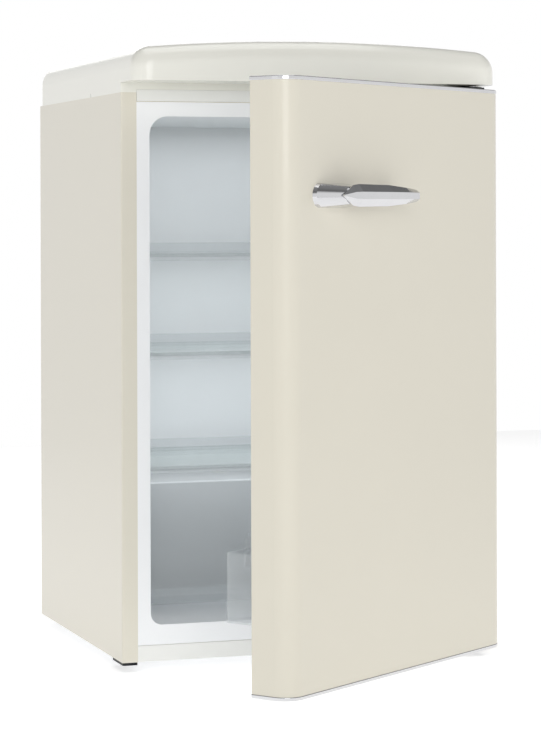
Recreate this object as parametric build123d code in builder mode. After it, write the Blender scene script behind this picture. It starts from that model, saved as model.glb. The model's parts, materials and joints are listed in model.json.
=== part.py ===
from build123d import *

import os
from math import hypot

# Retro under-counter larder fridge, millimetres.
# Frame: X to the right seen from the front, Y towards the wall, Z up. The origin is on the floor, at the
# middle of the cabinet's width, straight below the front plane that the door gasket faces.

# ---- driving dimensions -------------------------------------------------------------------------
WIDTH = 550.0
HEIGHT = 897.0
CABINET_DEPTH = 490.0
SHEET = 0.8
LINER_WALL = 2.0
BEND_ROOM = 0.6

SIDE_BOTTOM = 13.4
SIDE_TOP = 823.5
STEEL_FLANGE = 23.0
LINER_FLANGE = 19.0
REAR_RETURN = 12.0
PLINTH_TOP = 37.0
RAIL_BOTTOM = 810.4
RAIL_TOP = 827.8

OPENING_BOTTOM = 65.2
OPENING_TOP = 789.8
TUB_DEPTH = 440.0
HUMP_FRONT = 262.0
HUMP_SLOPE = 24.0
HUMP_TOP = 236.0
BAY_FRONT = 302.0
BAY_TOP = 190.0

COVER_WALL = 3.0
COVER_FRONT = -73.8
COVER_BACK = 498.0
COVER_UNDERSIDE = 837.6
COVER_SHOULDER = 31.0
COVER_SPRING = 851.0
COVER_FRONT_ROUND = 27.0

DOOR_ANGLE = 36.18
HINGE_X = 250.5
HINGE_Y = -38.0
DOOR_GAP = 10.0
DOOR_SIDE_GAP = 1.0
DOOR_BOTTOM = 15.7
DOOR_TOP = 830.4
DOOR_ROUND = 27.0
TRIM_HEIGHT = 5.5
TRIM_PROUD = 0.8
TRIM_BAND = 7.0
GASKET_INSET = 13.0
GASKET_WIDTH = 14.0
DYKE_INSET = 50.0
DYKE_WIDTH = 42.0
DYKE_HEIGHT = 30.0

PIN_RADIUS = 4.0
PIN_CLEARANCE = 0.05
HINGE_PLATE = 2.6
FOOT_X = 225.0
FOOT_FRONT_Y = 105.0
FOOT_REAR_Y = 440.0

SHELF_FRONT = 95.0
SHELF_BACK = 424.0
GLASS = 4.0
UPPER_SHELF_TOP = 593.0
LOWER_SHELF_TOP = 448.0
CRISPER_COVER_TOP = 280.5
CRISPER_BOTTOM = 77.0
CRISPER_RIM = 255.0
RUNNER_WIDTH = 6.0
RUNNER_HEIGHT = 6.0

# ---- values worked out from them ----------------------------------------------------------------
HALF = WIDTH / 2
INNER_HALF = HALF - SHEET
FLANGE_EDGE = HALF - STEEL_FLANGE
OPENING_HALF = FLANGE_EDGE - LINER_FLANGE
BACK_INNER = CABINET_DEPTH - 2 * SHEET - 0.4
FLOOR_SHEET_TOP = SIDE_BOTTOM + SHEET
DECK_BOTTOM = SIDE_TOP - SHEET

DOOR_LEFT = -HALF + DOOR_SIDE_GAP - HINGE_X
DOOR_RIGHT = HALF - DOOR_SIDE_GAP - HINGE_X
DOOR_BACK = -DOOR_GAP - HINGE_Y
DOOR_FRONT = COVER_FRONT - HINGE_Y
SKIN_BOTTOM = DOOR_BOTTOM + TRIM_HEIGHT
SKIN_TOP = DOOR_TOP - TRIM_HEIGHT

os.makedirs("parts", exist_ok=True)


def save(builder, name):
    """Label one finished piece and write it as its own STEP file."""
    builder.part.label = name
    export_step(builder.part, f"parts/{name}.step")


# The door is drawn closed in a local frame on the hinge axis, and this turns it to where it stands open.
door_frame = Plane(origin=(HINGE_X, HINGE_Y, 0)).rotated((0, 0, DOOR_ANGLE))


def on_door(plane):
    """A plane of the door's own closed frame, turned with the door."""
    return Plane(door_frame.location * plane.location)


def level(height):
    """A horizontal sketch plane of the cabinet."""
    return Plane.XY.offset(height)


def door_level(height):
    """A horizontal sketch plane of the door."""
    return on_door(Plane.XY.offset(height))


def box_between(low, high):
    """Centre and size of a box from two opposite corners."""
    centre = tuple((a + b) / 2 for a, b in zip(low, high))
    size = tuple(b - a for a, b in zip(low, high))
    return centre, size


def block(low, high, mode=Mode.ADD):
    """Add or cut an axis-aligned box of the cabinet from corner to corner."""
    centre, size = box_between(low, high)
    with Locations(centre):
        Box(*size, mode=mode)


def door_block(low, high, mode=Mode.ADD):
    """Add or cut a box that is square to the door."""
    centre, size = box_between(low, high)
    with Locations(door_frame.location * Location(centre)):
        Box(*size, mode=mode)


def bent_sheet(points, bend, plane, length):
    """Fold a strip of sheet steel along a path drawn on a plane, and extrude it."""
    with BuildSketch(plane) as strip:
        with BuildLine():
            FilletPolyline(*points, radius=bend)
        trace(line_width=SHEET)
    extrude(strip.sketch, amount=length)


def tub_profile(grow):
    """Side outline of the food compartment, with the step over the compressor, grown by a wall."""
    front = -5.0 if grow == 0 else LINER_WALL
    low = OPENING_BOTTOM - grow
    back = TUB_DEPTH + grow
    # the wall is measured square to the step's leaning face, so both its ends move back alike
    rise = HUMP_TOP - OPENING_BOTTOM
    step_front = HUMP_FRONT + grow * (hypot(rise, HUMP_SLOPE) - HUMP_SLOPE) / rise
    with BuildSketch(Plane.YZ.offset(-OPENING_HALF - grow)) as profile:
        with BuildLine():
            Polyline(
                (front, low),
                (step_front, low),
                (step_front + HUMP_SLOPE, HUMP_TOP - grow),
                (back, HUMP_TOP - grow),
                (back, OPENING_TOP + grow),
                (front, OPENING_TOP + grow),
                close=True,
            )
        make_face()
    return profile.sketch


def tub_solid(grow):
    """The food compartment as a solid, its long edges rounded like the mouth of the opening."""
    with BuildPart() as tub:
        extrude(tub_profile(grow), amount=2 * (OPENING_HALF + grow))
        long_edges = tub.edges().filter_by(Axis.Y)
        fillet(long_edges.group_by(Axis.Z)[-1], 27 + grow)
        fillet(long_edges.group_by(Axis.Z)[0], 17 + grow)
    return tub.part


# ---- places shared by the hinges, their screws and the sheets they go through --------------------
SCREW_RADIUS = 2.0
PLATE_LEFT = 228.0
PLATE_RIGHT = 268.0
PLATE_SCREW_X = (PLATE_LEFT + PLATE_RIGHT) / 2
PLATE_SCREW_Y = (20.0, 44.0)
BRACKET_SCREW_X = -HALF + STEEL_FLANGE / 2
upper_screws = [(PLATE_SCREW_X, y) for y in PLATE_SCREW_Y]
lower_screws = [(x, y) for x in (PLATE_SCREW_X, BRACKET_SCREW_X) for y in PLATE_SCREW_Y]


def drill(places, height, radius):
    """Cut a short vertical hole through a sheet at each place."""
    for place in places:
        with Locations((*place, height)):
            Cylinder(radius, 6, mode=Mode.SUBTRACT)


# ---- cabinet shell ------------------------------------------------------------------------------
side_path = [
    (-FLANGE_EDGE, SHEET / 2),
    (-HALF + SHEET / 2, SHEET / 2),
    (-HALF + SHEET / 2, CABINET_DEPTH - SHEET / 2),
    (-HALF + REAR_RETURN, CABINET_DEPTH - SHEET / 2),
]
with BuildPart() as left_side_panel:
    bent_sheet(side_path, 1.6, level(SIDE_BOTTOM), SIDE_TOP - SIDE_BOTTOM)
save(left_side_panel, "left_side_panel")

with BuildPart() as right_side_panel:
    mirror(left_side_panel.part, about=Plane.YZ)
save(right_side_panel, "right_side_panel")

# The deck closes the foam at the top. Two tabs behind it take the screws of the top cover.
TAB_X = 200.0
TAB_WIDTH = 30.0
TAB_BACK = COVER_BACK - COVER_WALL
TAB_TOP = 846.0
COVER_SCREW_Z = 835.0
with BuildPart() as roof_deck:
    block((-INNER_HALF, LINER_WALL, DECK_BOTTOM), (INNER_HALF, BACK_INNER, SIDE_TOP))
    for side in (-1, 1):
        x = side * TAB_X
        block((x - TAB_WIDTH / 2, BACK_INNER, DECK_BOTTOM), (x + TAB_WIDTH / 2, TAB_BACK, SIDE_TOP))
        block((x - TAB_WIDTH / 2, TAB_BACK - SHEET, SIDE_TOP), (x + TAB_WIDTH / 2, TAB_BACK, TAB_TOP))
    with Locations(*[Location((s * TAB_X, TAB_BACK, COVER_SCREW_Z), (90, 0, 0)) for s in (-1, 1)]):
        Hole(SCREW_RADIUS + 0.1, depth=4)
    drill(upper_screws, SIDE_TOP, SCREW_RADIUS + 0.1)
save(roof_deck, "roof_deck")

with BuildPart() as back_panel:
    block(
        (-INNER_HALF + BEND_ROOM, BACK_INNER, BAY_TOP + SHEET),
        (INNER_HALF - BEND_ROOM, BACK_INNER + SHEET, DECK_BOTTOM),
    )
save(back_panel, "back_panel")

# The floor sheet runs under the foam and rises behind it as the front and roof of the compressor bay.
DRAIN_Y = 418.0
DRAIN_RADIUS = 6.0
STUD_RADIUS = 4.0
PIPE_X = 150.0
PIPE_Y = 470.0
PIPE_HOLE = 9.0
with BuildPart() as cabinet_floor:
    floor_path = [
        (LINER_WALL, SIDE_BOTTOM + SHEET / 2),
        (BAY_FRONT - SHEET / 2, SIDE_BOTTOM + SHEET / 2),
        (BAY_FRONT - SHEET / 2, BAY_TOP + SHEET / 2),
        (BACK_INNER, BAY_TOP + SHEET / 2),
    ]
    bent_sheet(floor_path, 1.6, Plane.YZ.offset(-INNER_HALF), 2 * INNER_HALF)
    drill([(-FOOT_X, FOOT_FRONT_Y), (FOOT_X, FOOT_FRONT_Y)], SIDE_BOTTOM, STUD_RADIUS + 0.2)
    drill(lower_screws, SIDE_BOTTOM, SCREW_RADIUS + 0.1)
    drill([(0, DRAIN_Y)], BAY_TOP, DRAIN_RADIUS + 0.2)
    drill([(PIPE_X, PIPE_Y)], BAY_TOP, PIPE_HOLE)
save(cabinet_floor, "cabinet_floor")

with BuildPart() as front_plinth:
    block((-FLANGE_EDGE, 0, SIDE_BOTTOM), (FLANGE_EDGE, LINER_WALL, PLINTH_TOP - 0.4))
    fillet(front_plinth.edges().filter_by(Axis.X).group_by(Axis.Y)[0], 0.8)
save(front_plinth, "front_plinth")

with BuildPart() as front_top_rail:
    block((-FLANGE_EDGE + 0.4, 0, RAIL_BOTTOM + 0.5), (FLANGE_EDGE - 0.4, LINER_WALL, RAIL_TOP))
    fillet(front_top_rail.edges().filter_by(Axis.X).group_by(Axis.Y)[0], 0.8)
save(front_top_rail, "front_top_rail")

# ---- liner, runners and foam --------------------------------------------------------------------
RUNNER_DROP = 7.3
RUNNER_LEVELS = [
    CRISPER_COVER_TOP - RUNNER_DROP,
    LOWER_SHELF_TOP - RUNNER_DROP,
    (LOWER_SHELF_TOP + UPPER_SHELF_TOP) / 2 - RUNNER_DROP,
    UPPER_SHELF_TOP - RUNNER_DROP,
]
RUNNER_BACK = 430.0
KEEPER_GAP = 14.0
DRAWER_LEDGE_TOP = CRISPER_RIM - 6.0

with BuildPart() as inner_liner:
    block(
        (-FLANGE_EDGE, 0, PLINTH_TOP),
        (FLANGE_EDGE, LINER_WALL, RAIL_BOTTOM),
    )
    add(tub_solid(LINER_WALL))
    add(tub_solid(0), mode=Mode.SUBTRACT)
    for side in (-1, 1):
        outer = side * OPENING_HALF
        inner = side * (OPENING_HALF - RUNNER_WIDTH)
        low_x, high_x = sorted((outer, inner))
        for top in RUNNER_LEVELS:
            block((low_x, SHELF_FRONT + 6, top - RUNNER_HEIGHT), (high_x, RUNNER_BACK, top))
            block((low_x, SHELF_FRONT + 60, top + KEEPER_GAP), (high_x, RUNNER_BACK, top + KEEPER_GAP + 4))
        block((low_x, SHELF_FRONT + 10, DRAWER_LEDGE_TOP - 5), (high_x, HUMP_FRONT + 10, DRAWER_LEDGE_TOP))
    with Locations((0, DRAIN_Y, HUMP_TOP)):
        Cylinder(DRAIN_RADIUS + 0.2, 12, mode=Mode.SUBTRACT)
save(inner_liner, "inner_liner")

EVAPORATOR = ((-180, TUB_DEPTH + LINER_WALL, 420), (180, TUB_DEPTH + LINER_WALL + 3, 740))
CONDENSER_POCKET = ((-232, 481.5, 260), (232, BACK_INNER, 790))
with BuildPart() as cabinet_foam:
    block((-INNER_HALF, LINER_WALL, FLOOR_SHEET_TOP), (INNER_HALF, BACK_INNER, DECK_BOTTOM))
    block((-HALF, BAY_FRONT - SHEET - 2, 0), (HALF, CABINET_DEPTH, BAY_TOP + SHEET), Mode.SUBTRACT)
    add(tub_solid(LINER_WALL), mode=Mode.SUBTRACT)
    block((-OPENING_HALF, 0, OPENING_BOTTOM + 20), (OPENING_HALF, 20, OPENING_TOP - 30), Mode.SUBTRACT)
    block(*EVAPORATOR, Mode.SUBTRACT)
    block(*CONDENSER_POCKET, Mode.SUBTRACT)
    with Locations((-FOOT_X, FOOT_FRONT_Y, FLOOR_SHEET_TOP), (FOOT_X, FOOT_FRONT_Y, FLOOR_SHEET_TOP)):
        Cylinder(8.0, 72, mode=Mode.SUBTRACT)
    drill(upper_screws, DECK_BOTTOM, 5.0)
    with Locations((0, DRAIN_Y, (BAY_TOP + HUMP_TOP) / 2)):
        Cylinder(DRAIN_RADIUS + 0.2, 60, mode=Mode.SUBTRACT)
    with Locations((PIPE_X, PIPE_Y, BAY_TOP + 40)):
        Cylinder(PIPE_HOLE, 90, mode=Mode.SUBTRACT)
save(cabinet_foam, "cabinet_foam")

# ---- top cover ----------------------------------------------------------------------------------
COVER_SIDE_TOP = COVER_SPRING + COVER_SHOULDER + 2.0
HINGE_SLOT = (222.0, 271.0)


def cover_profile(wall):
    """Front outline of the top cover: a shallow arch between two rounded shoulders."""
    half = HALF - wall
    side_top = COVER_SIDE_TOP - wall
    with BuildSketch(Plane.XZ.offset(wall - COVER_BACK)) as arch:
        with BuildLine():
            Line((-half, SIDE_TOP), (half, SIDE_TOP))
            Line((half, SIDE_TOP), (half, side_top))
            ThreePointArc((half, side_top), (0, HEIGHT - wall), (-half, side_top))
            Line((-half, side_top), (-half, SIDE_TOP))
        make_face()
        fillet(arch.vertices().group_by(Axis.Y)[-1], COVER_SHOULDER - wall)
    return arch.sketch


def cover_solid(wall):
    """The cover's dome as a solid, shrunk by a wall, with the step under its overhang."""
    front = COVER_FRONT + wall
    back = COVER_BACK - wall
    with BuildPart() as dome:
        extrude(cover_profile(wall), amount=back - front)
        block((-HALF, front, SIDE_TOP), (HALF, wall, COVER_UNDERSIDE + wall), Mode.SUBTRACT)
        for station in (front, back):
            ends = dome.edges().filter_by_position(Axis.Y, station - 0.01, station + 0.01)
            fillet(ends.sort_by(Axis.Z)[1:], COVER_FRONT_ROUND - wall)
    return dome.part


with BuildPart() as top_cover:
    add(cover_solid(0))
    add(cover_solid(COVER_WALL), mode=Mode.SUBTRACT)
    block((-FLANGE_EDGE, -1, SIDE_TOP), (FLANGE_EDGE, COVER_WALL, RAIL_TOP), Mode.SUBTRACT)
    block((HINGE_SLOT[0], -1, SIDE_TOP), (HINGE_SLOT[1], COVER_WALL, COVER_UNDERSIDE), Mode.SUBTRACT)
    with Locations(*[Location((s * TAB_X, COVER_BACK, COVER_SCREW_Z), (90, 0, 0)) for s in (-1, 1)]):
        Cylinder(SCREW_RADIUS + 0.1, 12, mode=Mode.SUBTRACT)
save(top_cover, "top_cover")


def screw(head_radius, head_height, shank_length):
    """A dome-headed screw along +Z of its place, the underside of its head at the place itself."""
    with BuildPart(mode=Mode.PRIVATE) as one:
        Cylinder(head_radius, head_height, align=(Align.CENTER, Align.CENTER, Align.MIN))
        fillet(one.edges().group_by(Axis.Z)[-1], head_height * 0.45)
        Cylinder(SCREW_RADIUS, shank_length, align=(Align.CENTER, Align.CENTER, Align.MAX))
        with Locations((0, 0, head_height)):
            Box(head_radius * 1.1, 0.9, 1.2, mode=Mode.SUBTRACT)
            Box(0.9, head_radius * 1.1, 1.2, mode=Mode.SUBTRACT)
    return one.part


def screws_at(places, head_radius, head_height, shank_length):
    """The same screw at several places, each place's +Z pointing out of the head."""
    one = screw(head_radius, head_height, shank_length)
    with BuildPart(mode=Mode.PRIVATE) as group:
        for place in places:
            add(place * one)
    return group


BACKWARDS = (-90, 0, 0)
cover_screw_places = [Location((s * TAB_X, COVER_BACK, COVER_SCREW_Z), BACKWARDS) for s in (-1, 1)]
save(screws_at(cover_screw_places, 4.5, 2.4, 7.0), "cover_screws")

# ---- hinges and lower brackets ------------------------------------------------------------------
UPPER_PLATE_Z = 832.6
LOWER_PLATE_TOP = 13.4
LOWER_PLATE = 4.0
NOSE = 13.0

with BuildPart() as upper_hinge:
    with BuildSketch(Plane.YZ.offset(PLATE_LEFT)) as strip:
        with BuildLine():
            FilletPolyline(
                (60, SIDE_TOP + HINGE_PLATE / 2),
                (14, SIDE_TOP + HINGE_PLATE / 2),
                (6, UPPER_PLATE_Z + HINGE_PLATE / 2),
                (HINGE_Y, UPPER_PLATE_Z + HINGE_PLATE / 2),
                radius=2.2,
            )
        trace(line_width=HINGE_PLATE)
    extrude(amount=PLATE_RIGHT - PLATE_LEFT)
    with Locations((HINGE_X, HINGE_Y, UPPER_PLATE_Z)):
        Cylinder(NOSE, HINGE_PLATE, align=(Align.CENTER, Align.CENTER, Align.MIN))
    drill(upper_screws, SIDE_TOP, SCREW_RADIUS + 0.1)
    with Locations((HINGE_X, HINGE_Y, UPPER_PLATE_Z)):
        Cylinder(PIN_RADIUS, 12, mode=Mode.SUBTRACT)
save(upper_hinge, "upper_hinge")

PIN_REACH = 18.0
with BuildPart() as upper_pin:
    with Locations((HINGE_X, HINGE_Y, UPPER_PLATE_Z + HINGE_PLATE)):
        Cylinder(PIN_RADIUS, HINGE_PLATE + PIN_REACH, align=(Align.CENTER, Align.CENTER, Align.MAX))
        Cylinder(6.5, 1.4, align=(Align.CENTER, Align.CENTER, Align.MIN))
    chamfer(upper_pin.edges().filter_by(GeomType.CIRCLE).group_by(Axis.Z)[0], 0.8)

with BuildPart() as lower_hinge:
    block(
        (PLATE_LEFT, HINGE_Y, LOWER_PLATE_TOP - LOWER_PLATE),
        (PLATE_RIGHT, 58, LOWER_PLATE_TOP),
    )
    with Locations((HINGE_X, HINGE_Y, LOWER_PLATE_TOP)):
        Cylinder(NOSE, LOWER_PLATE, align=(Align.CENTER, Align.CENTER, Align.MAX))
    drill(lower_screws, LOWER_PLATE_TOP - LOWER_PLATE / 2, SCREW_RADIUS + 0.1)
    with Locations((HINGE_X, HINGE_Y, LOWER_PLATE_TOP)):
        Cylinder(PIN_RADIUS, 12, mode=Mode.SUBTRACT)
save(lower_hinge, "lower_hinge")

with BuildPart() as lower_pin:
    with Locations((HINGE_X, HINGE_Y, LOWER_PLATE_TOP - LOWER_PLATE)):
        Cylinder(PIN_RADIUS, LOWER_PLATE + 20, align=(Align.CENTER, Align.CENTER, Align.MIN))
        Cylinder(6.5, 1.4, align=(Align.CENTER, Align.CENTER, Align.MAX))
    with Locations((HINGE_X, HINGE_Y, LOWER_PLATE_TOP)):
        Cylinder(7.0, 1.5, align=(Align.CENTER, Align.CENTER, Align.MIN))
    chamfer(lower_pin.edges().filter_by(GeomType.CIRCLE).group_by(Axis.Z)[-1], 0.8)

with BuildPart() as hinge_pins:
    add(upper_pin.part)
    add(lower_pin.part)
save(hinge_pins, "hinge_pins")

with BuildPart() as corner_bracket:
    block(
        (-HALF + SHEET, 0, LOWER_PLATE_TOP - LOWER_PLATE),
        (-FLANGE_EDGE, 58, LOWER_PLATE_TOP),
    )
    fillet(corner_bracket.edges().filter_by(Axis.Z), 3)
    drill(lower_screws, LOWER_PLATE_TOP - LOWER_PLATE / 2, SCREW_RADIUS + 0.1)
save(corner_bracket, "corner_bracket")

hinge_screw_places = [Location((*place, SIDE_TOP + HINGE_PLATE)) for place in upper_screws]
hinge_screw_places += [
    Location((*place, LOWER_PLATE_TOP - LOWER_PLATE), (180, 0, 0)) for place in lower_screws
]
save(screws_at(hinge_screw_places, 4.5, 2.4, LOWER_PLATE + SHEET), "hinge_screws")

# ---- feet ---------------------------------------------------------------------------------------
FOOT_RADIUS = 18.0
FOOT_HEIGHT = 8.0
STUD_TOP = 46.0


def front_foot(x, name):
    """A levelling foot: a ribbed disc moulded on a threaded stud."""
    with BuildPart() as foot:
        with Locations((x, FOOT_FRONT_Y, 0)):
            Cylinder(FOOT_RADIUS, FOOT_HEIGHT, align=(Align.CENTER, Align.CENTER, Align.MIN))
        chamfer(foot.edges().filter_by(GeomType.CIRCLE), 1)
        with Locations((x, FOOT_FRONT_Y, FOOT_HEIGHT)):
            Cylinder(STUD_RADIUS, STUD_TOP - FOOT_HEIGHT, align=(Align.CENTER, Align.CENTER, Align.MIN))
        with Locations((x, FOOT_FRONT_Y, 4.5)):
            with PolarLocations(FOOT_RADIUS, 16):
                Cylinder(1.1, 4, mode=Mode.SUBTRACT)
    save(foot, name)


front_foot(-FOOT_X, "left_front_foot")
front_foot(FOOT_X, "right_front_foot")

with BuildPart() as foot_nuts:
    for x in (-FOOT_X, FOOT_X):
        with BuildSketch(Plane.XY.offset(FLOOR_SHEET_TOP)):
            with Locations((x, FOOT_FRONT_Y)):
                RegularPolygon(6.5, 6, major_radius=False)
                Circle(STUD_RADIUS + PIN_CLEARANCE, mode=Mode.SUBTRACT)
        extrude(amount=6.5)
save(foot_nuts, "foot_nuts")

BAY_PLATE_TOP = SIDE_BOTTOM + 2.0
with BuildPart() as rear_feet:
    for x in (-FOOT_X, FOOT_X):
        with Locations((x, FOOT_REAR_Y, 0)):
            Cylinder(FOOT_RADIUS, SIDE_BOTTOM, align=(Align.CENTER, Align.CENTER, Align.MIN))
            Cylinder(5, SIDE_BOTTOM + 8, align=(Align.CENTER, Align.CENTER, Align.MIN))
    chamfer(rear_feet.edges().filter_by(GeomType.CIRCLE).group_by(Axis.Z)[0], 1)
save(rear_feet, "rear_feet")

# ---- compressor bay -----------------------------------------------------------------------------
COMPRESSOR_X = -35.0
COMPRESSOR_Y = 395.0
COMPRESSOR_LENGTH = 178.0
COMPRESSOR_WIDTH = 132.0
COMPRESSOR_FLOOR = 33.0
COMPRESSOR_BELT = 92.0
COMPRESSOR_CROWN = 156.0
GROMMET_DX = 82.0
GROMMET_DY = 52.0
GROMMET_RADIUS = 11.0
GLAND_X = 190.0
GLAND_Z = 34.0
GLAND_RADIUS = 8.0
CORD_RADIUS = 3.8
GLAND_LENGTH = 20.0
GLAND_COLLAR = 3.0
grommet_centres = [
    (COMPRESSOR_X + i * GROMMET_DX, COMPRESSOR_Y + j * GROMMET_DY) for i in (-1, 1) for j in (-1, 1)
]

with BuildPart() as compressor_plate:
    block((-INNER_HALF, BAY_FRONT + 1, SIDE_BOTTOM), (INNER_HALF, BACK_INNER, BAY_PLATE_TOP))
    block((-INNER_HALF, BACK_INNER - 2, BAY_PLATE_TOP), (INNER_HALF, BACK_INNER, 52))
    for place in grommet_centres:
        with Locations((*place, SIDE_BOTTOM)):
            Cylinder(5.1, 8, mode=Mode.SUBTRACT)
    for x in (-FOOT_X, FOOT_X):
        with Locations((x, FOOT_REAR_Y, SIDE_BOTTOM)):
            Cylinder(5.1, 8, mode=Mode.SUBTRACT)
    with Locations(Location((GLAND_X, BACK_INNER, GLAND_Z), (90, 0, 0))):
        Cylinder(GLAND_RADIUS, 10, mode=Mode.SUBTRACT)
save(compressor_plate, "compressor_plate")

with BuildPart() as compressor_grommets:
    for place in grommet_centres:
        with Locations((*place, BAY_PLATE_TOP)):
            Cylinder(GROMMET_RADIUS, 13, align=(Align.CENTER, Align.CENTER, Align.MIN))
        with Locations((*place, SIDE_BOTTOM)):
            Cylinder(5.0, 8, align=(Align.CENTER, Align.CENTER, Align.MIN))
        with Locations((*place, SIDE_BOTTOM - 2)):
            Cylinder(8.0, 2, align=(Align.CENTER, Align.CENTER, Align.MIN))
        with Locations((*place, 0)):
            Cylinder(3.0, 80, mode=Mode.SUBTRACT)
        with Locations((*place, BAY_PLATE_TOP + 6.5)):
            Cylinder(GROMMET_RADIUS + 1, 2, mode=Mode.SUBTRACT)
            Cylinder(GROMMET_RADIUS - 2, 2)
            Cylinder(3.0, 4, mode=Mode.SUBTRACT)
save(compressor_grommets, "compressor_grommets")

FOOT_PLATE_Z = BAY_PLATE_TOP + 13.0
with BuildPart() as compressor_bolts:
    for place in grommet_centres:
        with Locations((*place, SIDE_BOTTOM - 4)):
            Cylinder(2.9, FOOT_PLATE_Z + 12 - SIDE_BOTTOM, align=(Align.CENTER, Align.CENTER, Align.MIN))
        with BuildSketch(Plane.XY.offset(SIDE_BOTTOM - 6.5)):
            with Locations(place):
                RegularPolygon(5.5, 6, major_radius=False)
        extrude(amount=4.5)
        with BuildSketch(Plane.XY.offset(FOOT_PLATE_Z + 3)):
            with Locations(place):
                RegularPolygon(5.5, 6, major_radius=False)
        extrude(amount=4.5)
save(compressor_bolts, "compressor_bolts")

with BuildPart() as compressor:
    with BuildSketch(Plane.XY.offset(COMPRESSOR_FLOOR)):
        with Locations((COMPRESSOR_X, COMPRESSOR_Y)):
            SlotOverall(COMPRESSOR_LENGTH, COMPRESSOR_WIDTH)
    extrude(amount=COMPRESSOR_CROWN - COMPRESSOR_FLOOR)
    fillet(compressor.edges().group_by(Axis.Z)[-1], 38)
    fillet(compressor.edges().group_by(Axis.Z)[0], 16)
    with BuildSketch(Plane.XY.offset(COMPRESSOR_BELT)):
        with Locations((COMPRESSOR_X, COMPRESSOR_Y)):
            SlotOverall(COMPRESSOR_LENGTH + 7, COMPRESSOR_WIDTH + 7)
    extrude(amount=5)
    for j in (-1, 1):
        y = COMPRESSOR_Y + j * GROMMET_DY
        block(
            (COMPRESSOR_X - GROMMET_DX - 14, y - 13, FOOT_PLATE_Z),
            (COMPRESSOR_X + GROMMET_DX + 14, y + 13, FOOT_PLATE_Z + 3),
        )
    block(
        (COMPRESSOR_X - 50, COMPRESSOR_Y - 56, FOOT_PLATE_Z),
        (COMPRESSOR_X + 50, COMPRESSOR_Y + 56, COMPRESSOR_FLOOR + 12),
    )
    for place in grommet_centres:
        with Locations((*place, FOOT_PLATE_Z)):
            Cylinder(3.0, 20, mode=Mode.SUBTRACT)
save(compressor, "compressor")

RELAY_X = COMPRESSOR_X + COMPRESSOR_LENGTH / 2 + 0.5
with BuildPart() as relay_cover:
    block((RELAY_X, COMPRESSOR_Y - 24, 60), (RELAY_X + 34, COMPRESSOR_Y + 24, COMPRESSOR_BELT - 2))
    fillet(relay_cover.edges().group_by(Axis.X)[-1], 4)
save(relay_cover, "relay_cover")

TRAY_FLOOR = COMPRESSOR_CROWN + 1.0
TRAY_TOP = 184.0
TRAY_WALL = 2.0
with BuildPart() as drain_tray:
    block(
        (COMPRESSOR_X - 92, COMPRESSOR_Y - 62, TRAY_FLOOR),
        (COMPRESSOR_X + 112, COMPRESSOR_Y + 66, TRAY_TOP),
    )
    fillet(drain_tray.edges().filter_by(Axis.Z), 14)
    offset(amount=-TRAY_WALL, openings=drain_tray.faces().sort_by(Axis.Z)[-1])
save(drain_tray, "drain_tray")

with BuildPart() as drain_spout:
    with Locations((0, DRAIN_Y, HUMP_TOP)):
        Cylinder(DRAIN_RADIUS + 5, 2, align=(Align.CENTER, Align.CENTER, Align.MIN))
        Cylinder(DRAIN_RADIUS, HUMP_TOP - BAY_TOP + 12, align=(Align.CENTER, Align.CENTER, Align.MAX))
    with Locations((0, DRAIN_Y, HUMP_TOP)):
        Cylinder(DRAIN_RADIUS - 1.5, 200, mode=Mode.SUBTRACT)
save(drain_spout, "drain_spout")

with BuildPart() as power_inlet_gland:
    with Locations(Location((GLAND_X, BACK_INNER, GLAND_Z), (90, 0, 0))):
        Cylinder(GLAND_RADIUS - 0.1, GLAND_LENGTH)
    with Locations(Location((GLAND_X, BACK_INNER + GLAND_COLLAR / 2, GLAND_Z), (90, 0, 0))):
        Cylinder(GLAND_RADIUS + 4, GLAND_COLLAR)
    with Locations(Location((GLAND_X, BACK_INNER, GLAND_Z), (90, 0, 0))):
        Cylinder(CORD_RADIUS, 2 * GLAND_LENGTH, mode=Mode.SUBTRACT)
save(power_inlet_gland, "power_inlet_gland")


def tube_along(points, bend, radius):
    """Add a round tube that follows straight runs joined by bends."""
    with BuildLine(mode=Mode.PRIVATE) as route:
        FilletPolyline(*points, radius=bend)
    with BuildSketch(Plane(route.line @ 0, z_dir=route.line % 0)) as section:
        Circle(radius)
    sweep(section.sketch, path=route.line)


DRYER_Z = 120.0
DISCHARGE_BEND = 2.25
with BuildPart() as filter_dryer:
    with Locations((PIPE_X + 62, PIPE_Y - 22, DRYER_Z)):
        Cylinder(9, 74)
    fillet(filter_dryer.edges().filter_by(GeomType.CIRCLE), 6)
save(filter_dryer, "filter_dryer")

with BuildPart() as refrigerant_lines:
    tube_along(
        [
            (COMPRESSOR_X + 70, COMPRESSOR_Y + 57, 80),
            (COMPRESSOR_X + 70, PIPE_Y, 80),
            (PIPE_X - 3.6, PIPE_Y, 80),
            (PIPE_X - 3.6, PIPE_Y, HUMP_TOP - 2),
        ],
        9,
        3.2,
    )
    tube_along(
        [
            (COMPRESSOR_X + 40, COMPRESSOR_Y - 67, 80),
            (COMPRESSOR_X + 40, COMPRESSOR_Y - 82, 80),
            (PIPE_X + 62, COMPRESSOR_Y - 82, 80),
            (PIPE_X + 62, PIPE_Y - 22, 80),
            (PIPE_X + 62, PIPE_Y - 22, DRYER_Z - 37),
        ],
        DISCHARGE_BEND,
        2.4,
    )
    tube_along(
        [
            (PIPE_X + 62, PIPE_Y - 22, DRYER_Z + 37),
            (PIPE_X + 62, PIPE_Y - 22, DRYER_Z + 52),
            (PIPE_X + 5.4, PIPE_Y, DRYER_Z + 52),
            (PIPE_X + 5.4, PIPE_Y, HUMP_TOP - 2),
        ],
        7,
        1.6,
    )
save(refrigerant_lines, "refrigerant_lines")

# ---- sealed refrigeration pieces behind the liner and the back panel -----------------------------
with BuildPart() as evaporator_plate:
    block(*EVAPORATOR)
save(evaporator_plate, "evaporator_plate")

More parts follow.
